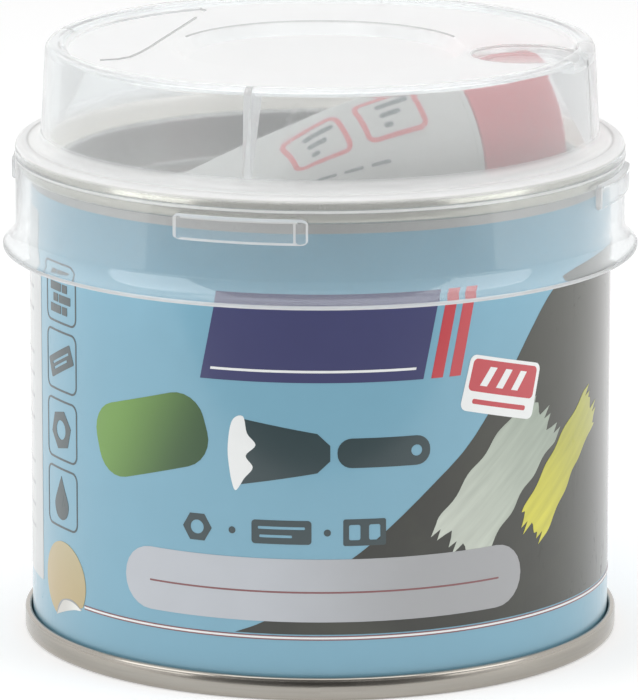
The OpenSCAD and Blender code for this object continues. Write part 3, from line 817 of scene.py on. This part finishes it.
def on_film(s, across, lift):
    """Point on the sleeve for print, by length from the tail and millimetres round from its far side."""
    return on_sleeve(s, across / TUBE_R, lift)


def print_on_tube(name, loops, finish):
    """Thin print on the sleeve."""
    print_patch(name, loops, finish, 0.05, "tube", on_film, both_ways=True)


for k, s in enumerate((17.6, 29.4)):
    print_on_tube(f"tube_frame_{k}", rounded_frame((s, 19.5), 9.6, 8.4, 1.6, 0.8), signal_red)
    for j in range(3):
        bar = rounded_box((s - 0.9 * j + 0.9, 17.6 + 1.9 * j), 5.0 - 1.8 * j, 0.9, 0.4)
        print_on_tube(f"tube_bar_{k}_{j}", [bar], dark_ink)
for k in range(4):
    print_on_tube(f"tube_rule_{k}", [rounded_box((13.0 + 4.2 * k, 27.0), 3.0, 0.6, 0.2)], dark_ink)


def turned_on_tube(profile, steps=128):
    """Points and faces of a closed profile of radius and length turned about the tube's axis."""
    points, faces = turned(profile, steps)
    return [in_tube(s, x, y) for x, y, s in points], faces


screw_cap = rounded_path([(0, 53.46, 0), (8.94, 53.46, 0.45), (9.0, 41.0, 0.3), (8.2, 40.86, 0.15), (8.0, 52.3, 0.5),
                          (0, 52.4, 0)])
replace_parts(new_piece("screw_cap_shell", *turned_on_tube(screw_cap), "screw_cap", tube_cap_finish), "tube_cap")


# Clear cap
STEP_EDGE = [(-34.1, -11.2), (-31.0, -11.4), (-28.6, -10.7), (-27.0, -9.0), (-25.8, -6.0), (-24.5, -1.7), (-23.0, 4.4),
             (-21.6, 9.8), (-20.0, 16.0), (-18.3, 22.8), (-16.6, 29.5)]


def cap_profile():
    """Closed profile of radius and height, from the dish out over the rim and down the skirt to the lip."""
    half = CAP_WALL / 2
    dish, panel, rim, shoulder = PANEL_Z - DISH_DEPTH - half, PANEL_Z - half, CAP_TOP - half, TIN_H + half
    skirt = SKIRT_R - half
    line = rounded_path([
        (0, dish, 0), (DISH_R - 1.6, dish, 1.1), (DISH_R, panel, 0.9),
        (CROWN_R - 3.2, panel, 0.6), (CROWN_R - 1.9, rim, 0.5), (CROWN_R - half, rim, 0.95),
        (CROWN_FOOT_R - half, shoulder, 1.25), (skirt, shoulder, 0.75),
        (skirt, LINE_Z + 0.16, 0.03), (skirt + 0.09, LINE_Z, 0.03), (skirt, LINE_Z - 0.16, 0.03),
        (skirt, 59.0, 4.0), (44.1, 57.5, 2.0), (45.15, 56.6, 0)])
    outside, inside = beside(line, half), beside(line, -half)
    run = (line[-1] - line[-2]).normalized()
    lip = [line[-1] + Matrix.Rotation(math.radians(a), 2) @ (run * half) for a in (60, 30, 0, -30, -60)]
    profile = outside + lip + inside[::-1]
    return [(0.0 if r < 1e-4 else r, z) for r, z in profile]


def facing(turn, out, side, z):
    """Point by distance out and to the side in a direction from the front towards the right."""
    a = math.radians(turn)
    return out * math.sin(a) + side * math.cos(a), -out * math.cos(a) + side * math.sin(a), z


def grip_bar(turn):
    """Raised bar with rounded corners and edges on the outside of the skirt."""
    wide, high, corner, rise = BAR_HALF_W, BAR_HALF_H, 1.1, 0.65
    steps = [0, 0.06, 0.14, 0.25, 0.4, 0.6, 0.9]
    across = {s * (wide - d) for d in steps for s in (-1, 1)} | {0.92 * k for k in range(-9, 10)} | set(BAR_CELL)
    across = sorted(across)
    points = []
    for lifted in (True, False):
        for u in across:
            past = max(0.0, abs(u) - wide + corner)
            tall = high - corner + math.sqrt(max(corner ** 2 - past ** 2, 0.0)) if past < corner else high - corner
            for v in sorted({s * (1 - d / high) for d in steps for s in (-1, 1)} | {-0.25, 0.25}):
                inside = min(wide - abs(u), tall * (1 - abs(v)))
                swell = (0.3 + rise) * math.sin(math.pi / 2 * min(1, inside / BAR_EDGE))
                out = SKIRT_R - 0.3 + swell if lifted else SKIRT_R - 0.4
                points.append(facing(turn + math.degrees(u / SKIRT_R), out, 0, BAR_Z + v * tall))
    return points, grid_faces(len(across), len(points) // 2 // len(across))


def grid_faces(columns, rows):
    """Faces of an upper and a lower grid of points, closed round their edge."""
    lower = columns * rows
    faces = []
    for i in range(columns - 1):
        for j in range(rows - 1):
            quad = [i * rows + j, (i + 1) * rows + j, (i + 1) * rows + j + 1, i * rows + j + 1]
            faces += [quad, [lower + k for k in reversed(quad)]]
    edge = [i * rows for i in range(columns)] + [(columns - 1) * rows + j for j in range(1, rows)]
    edge += [i * rows + rows - 1 for i in range(columns - 2, -1, -1)] + list(range(rows - 2, 0, -1))
    faces += [[a, b, lower + b, lower + a] for a, b in zip(edge, edge[1:] + edge[:1])]
    return faces


def cap_additions():
    """Ribs, grip bars, the cup's shell, a block at the cup and a bead along the step."""
    shapes = []
    for turn in RIB_TURNS:
        gusset = [(CROWN_R - 6.55, PANEL_Z - 0.35), (CROWN_R - 2.9, PANEL_Z - 0.35), (CROWN_R - 1.6, CAP_TOP - 0.4),
                  (CROWN_R - 0.6, CAP_TOP - 0.8), (CROWN_R - 0.3, CAP_TOP - 2), (CROWN_FOOT_R - 0.35, 72.6),
                  (CROWN_FOOT_R - 0.95, 71.75)]
        shapes.append(slab(gusset, -0.55, 0.55, lambda a, b, h, turn=turn: facing(turn, a, h, b)))
        shapes.append(grip_bar(turn))
    rim = PANEL_Z - 0.3
    cup = [(0, rim - 1.6), (CUP_R, rim - 1.6), (CUP_R + 0.45, rim - 1.35), (CUP_R + 0.7, rim), (0, rim)]
    shapes.append(turned_at_cup(cup))
    turns = [CUP_TURN - 12 + 2 * k for k in range(13)]
    block = [(turn, CROWN_R - 2.7) for turn in turns] + [(turn, CROWN_R - 0.6) for turn in reversed(turns)]
    shapes.append(slab(block, PANEL_Z - 1.2, PANEL_Z + 0.3, lambda a, b, h: facing(a, b, 0, h)))
    edge = [Vector(p) for p in STEP_EDGE]
    bead = beside(edge, -0.36)[1:-1] + beside(edge, -0.06)[-2:0:-1]
    shapes.append(slab(bead, PANEL_Z - 0.3, PANEL_Z + 0.16, lambda a, b, h: (a, b, h)))
    return gathered(shapes)


def turned_at_cup(profile):
    """A profile turned about the measuring cup's own axis."""
    points, faces = turned(profile, 96)
    at = facing(CUP_TURN, CUP_OUT, 0, 0)
    return [(x + at[0], y + at[1], z) for x, y, z in points], faces


def cap_removals():
    """The measuring cup's bowl and the wiping step."""
    bowl = [(0, -CUP_DEPTH), (CUP_R - 0.65, -CUP_DEPTH), (CUP_R - 0.4, -1.12), (CUP_R - 0.25, -0.9),
            (CUP_R - 0.08, -0.35), (CUP_R + 0.05, -0.12), (CUP_R + 0.3, 0), (CUP_R + 0.3, 1.3), (0, 1.3)]
    step = slab(step_outline(), PANEL_Z - STEP_DEPTH, PANEL_Z + 0.6, lambda a, b, h: (a, b, h))
    return gathered([turned_at_cup([(r, PANEL_Z + z) for r, z in bowl]), step])


def frost_edges(mesh):
    """Gives milky finishes to the bars, skirt line and lip, a greyer milky finish to the ribs as painted shade, and
    grey lines of painted shade to the step, the dish and the cup.
    """
    # LINE faces get grey painted shade; RIB faces get a milky finish greyed as painted shade.
    CLEAR, EDGE, BAR, LINE, RIB = range(5)
    for finish in (edge_finish, bar_finish, painted_shade_line_finish, rib_finish_painted_shade):
        mesh.materials.append(finish)
    cup = Vector(facing(CUP_TURN, CUP_OUT, 0, 0))
    for face in mesh.polygons:
        x, y, z = face.center / MM
        out, below = math.hypot(x, y), PANEL_Z - z
        kind = CLEAR
        if 64.5 < z < 69.0 and out > SKIRT_R + 0.03:
            turn = (math.degrees(math.atan2(x, -y)) - RIB_TURNS[0] + 45) % 90 - 45
            beyond = SKIRT_R * math.radians(turn)
            inside = min(BAR_HALF_W - abs(beyond), BAR_HALF_H - abs(z - BAR_Z))
            in_cell = BAR_CELL[0] < beyond < BAR_CELL[1]
            kind = EDGE if inside < BAR_EDGE or beyond < -9.0 or in_cell else BAR
        elif abs(z - LINE_Z) < 0.17 and out > SKIRT_R + 0.002 or out > 45.0:
            kind = EDGE
        elif math.hypot(x - cup.x, y - cup.y) < CUP_R + 0.35 and -0.05 < below < 2.1:
            kind = LINE if -0.05 < below < 0.4 and face.normal.z < 0.9 else BAR
        elif 72.0 < z < PANEL_Z - 0.8 and 31.0 < out < 38.7:
            kind = RIB
        elif -0.3 < below < 0.3 and 22.0 < out < 35.5 and (abs(face.normal.z) < 0.5 or below < -0.12):
            kind = LINE
        elif y > 8.0 and abs(out - DISH_R) < 0.3 and below < 0.3 and 0.3 < face.normal.z < 0.97:
            kind = LINE
        face.material_index = kind


def step_outline():
    """Wiping step on the left of the top: a strip along the edge with a curved inner side."""
    outer, inner = CROWN_R - 3.3, STEP_EDGE
    start, end = math.atan2(inner[-1][1], inner[-1][0]), math.atan2(inner[0][1], inner[0][0]) + 2 * math.pi
    sweep = [start + (end - start) * i / 60 for i in range(61)]
    return [(outer * math.cos(a), outer * math.sin(a)) for a in sweep] + inner


cap = new_piece("clear_cap", *turned(cap_profile()), "cap", clear_finish)
cut_or_join(cap, cap_additions(), "UNION")
cut_or_join(cap, cap_removals(), "DIFFERENCE")
smooth(cap.data, 30)
frost_edges(cap.data)
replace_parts(cap, "mixing_cap")


# Studio
def make_floor():
    """Plain white floor that keeps the tin's shadow."""
    material, tree, shader, place = new_finish("white floor")
    grain = use(tree, fine_grain, Place=place, Size=30.0, Depth=0.01)
    feed(shader, {"Base Color": toned(tree, (0.8, 0.8, 0.8, 1), grain["Tone"]), "Roughness": 0.9,
                  "Specular IOR Level": 0.1, "Emission Color": (1, 1, 1, 1), "Emission Strength": 0.36})
    points = [(x, y, -0.02) for y in (-3000, 3000) for x in (-3000, 3000)]
    floor = new_piece("floor", points, [[0, 1, 3, 2]], None, material)


def make_dark_sheet(name, points):
    """Grey sheet that shows only in reflections and, paler, through the clear cap, as the dark side of the room."""
    material, tree, shader, place = new_finish(name)
    grain = use(tree, fine_grain, Place=place, Size=8.0, Depth=0.3)
    seen_through = put(tree, "ShaderNodeLightPath").outputs["Is Transmission Ray"]
    tone = mixed(tree, seen_through, (0.1, 0.1, 0.1, 1), (0.66, 0.66, 0.66, 1))
    feed(shader, {"Base Color": toned(tree, tone, grain["Tone"]), "Roughness": 0.9, "Specular IOR Level": 0.0})
    sheet = new_piece(name, points, [[0, 1, 2, 3]], None, material)
    sheet.visible_camera = sheet.visible_diffuse = sheet.visible_shadow = False


def make_world():
    """White where the camera sees it, darker towards the front in reflections, and dim as light."""
    world = bpy.data.worlds.new("soft white room")
    world.use_nodes = True
    scene.world = world
    tree = world.node_tree
    rays = put(tree, "ShaderNodeLightPath").outputs
    towards = parts_of(tree, put(tree, "ShaderNodeTexCoord").outputs["Generated"])["Y"]
    passing = sums(tree, "MULTIPLY", rays["Is Transmission Ray"], eased(tree, towards, -0.2, 0.1))
    shown = sums(tree, "MAXIMUM", rays["Is Camera Ray"], passing)
    bright = sums(tree, "MAXIMUM", rays["Is Glossy Ray"], rays["Is Transmission Ray"])
    least = sums(tree, "MULTIPLY", rays["Is Transmission Ray"], 0.6)
    mirrored = sums(tree, "MAXIMUM", eased(tree, towards, -0.95, -0.1, 0.14, 1.05), least)
    room, gloss, white = (put(tree, "ShaderNodeBackground", {"Color": (1, 1, 1, 1), "Strength": strength}).outputs[0]
                          for strength in (0.5, mirrored, 1.0))
    lit = blended(tree, bright, room, gloss)
    feed(tree.nodes["World Output"], {"Surface": blended(tree, shown, lit, white)})


def make_lamp(name, at, size, power):
    """A soft box that faces the tin."""
    lamp = bpy.data.lights.new(name, "AREA")
    lamp.shape, lamp.size, lamp.size_y, lamp.energy = "RECTANGLE", size[0], size[1], power
    obj = bpy.data.objects.new(name, lamp)
    aim = Vector((0, 0, 0.04))
    obj.location = at
    obj.rotation_euler = (aim - Vector(at)).to_track_quat("-Z", "Y").to_euler()
    scene.collection.objects.link(obj)


def make_camera():
    """Long lens before the tin, pitched down; its focal length is given in pixels of the frame's height."""
    focal, frame_height, sensor = 6597.8, 700, 36.0
    lens = bpy.data.cameras.new("camera")
    lens.sensor_width, lens.lens = sensor, focal * sensor / frame_height
    lens.clip_start, lens.clip_end = 0.05, 20
    camera = bpy.data.objects.new("camera", lens)
    camera.location = (-0.00016, -0.92595, 0.25275)
    camera.rotation_euler = (math.radians(77.08), 0, 0)
    scene.collection.objects.link(camera)
    scene.camera = camera


make_floor()
make_dark_sheet("table edge", [(-600, -170, 0.1), (600, -170, 0.1), (600, -1500, 0.1), (-600, -1500, 0.1)])
make_dark_sheet("dark side", [(-230, -1050, 0), (230, -1050, 0), (230, -1050, 600), (-230, -1050, 600)])
make_world()
make_lamp("left soft box", (-0.62, -0.28, 0.40), (0.5, 0.7), 1.9)
make_lamp("right soft box", (0.62, -0.28, 0.40), (0.5, 0.7), 1.7)
make_lamp("top soft box", (0.0, 0.1, 0.85), (0.8, 0.8), 2.2)
make_camera()
scene.view_settings.view_transform = "Standard"
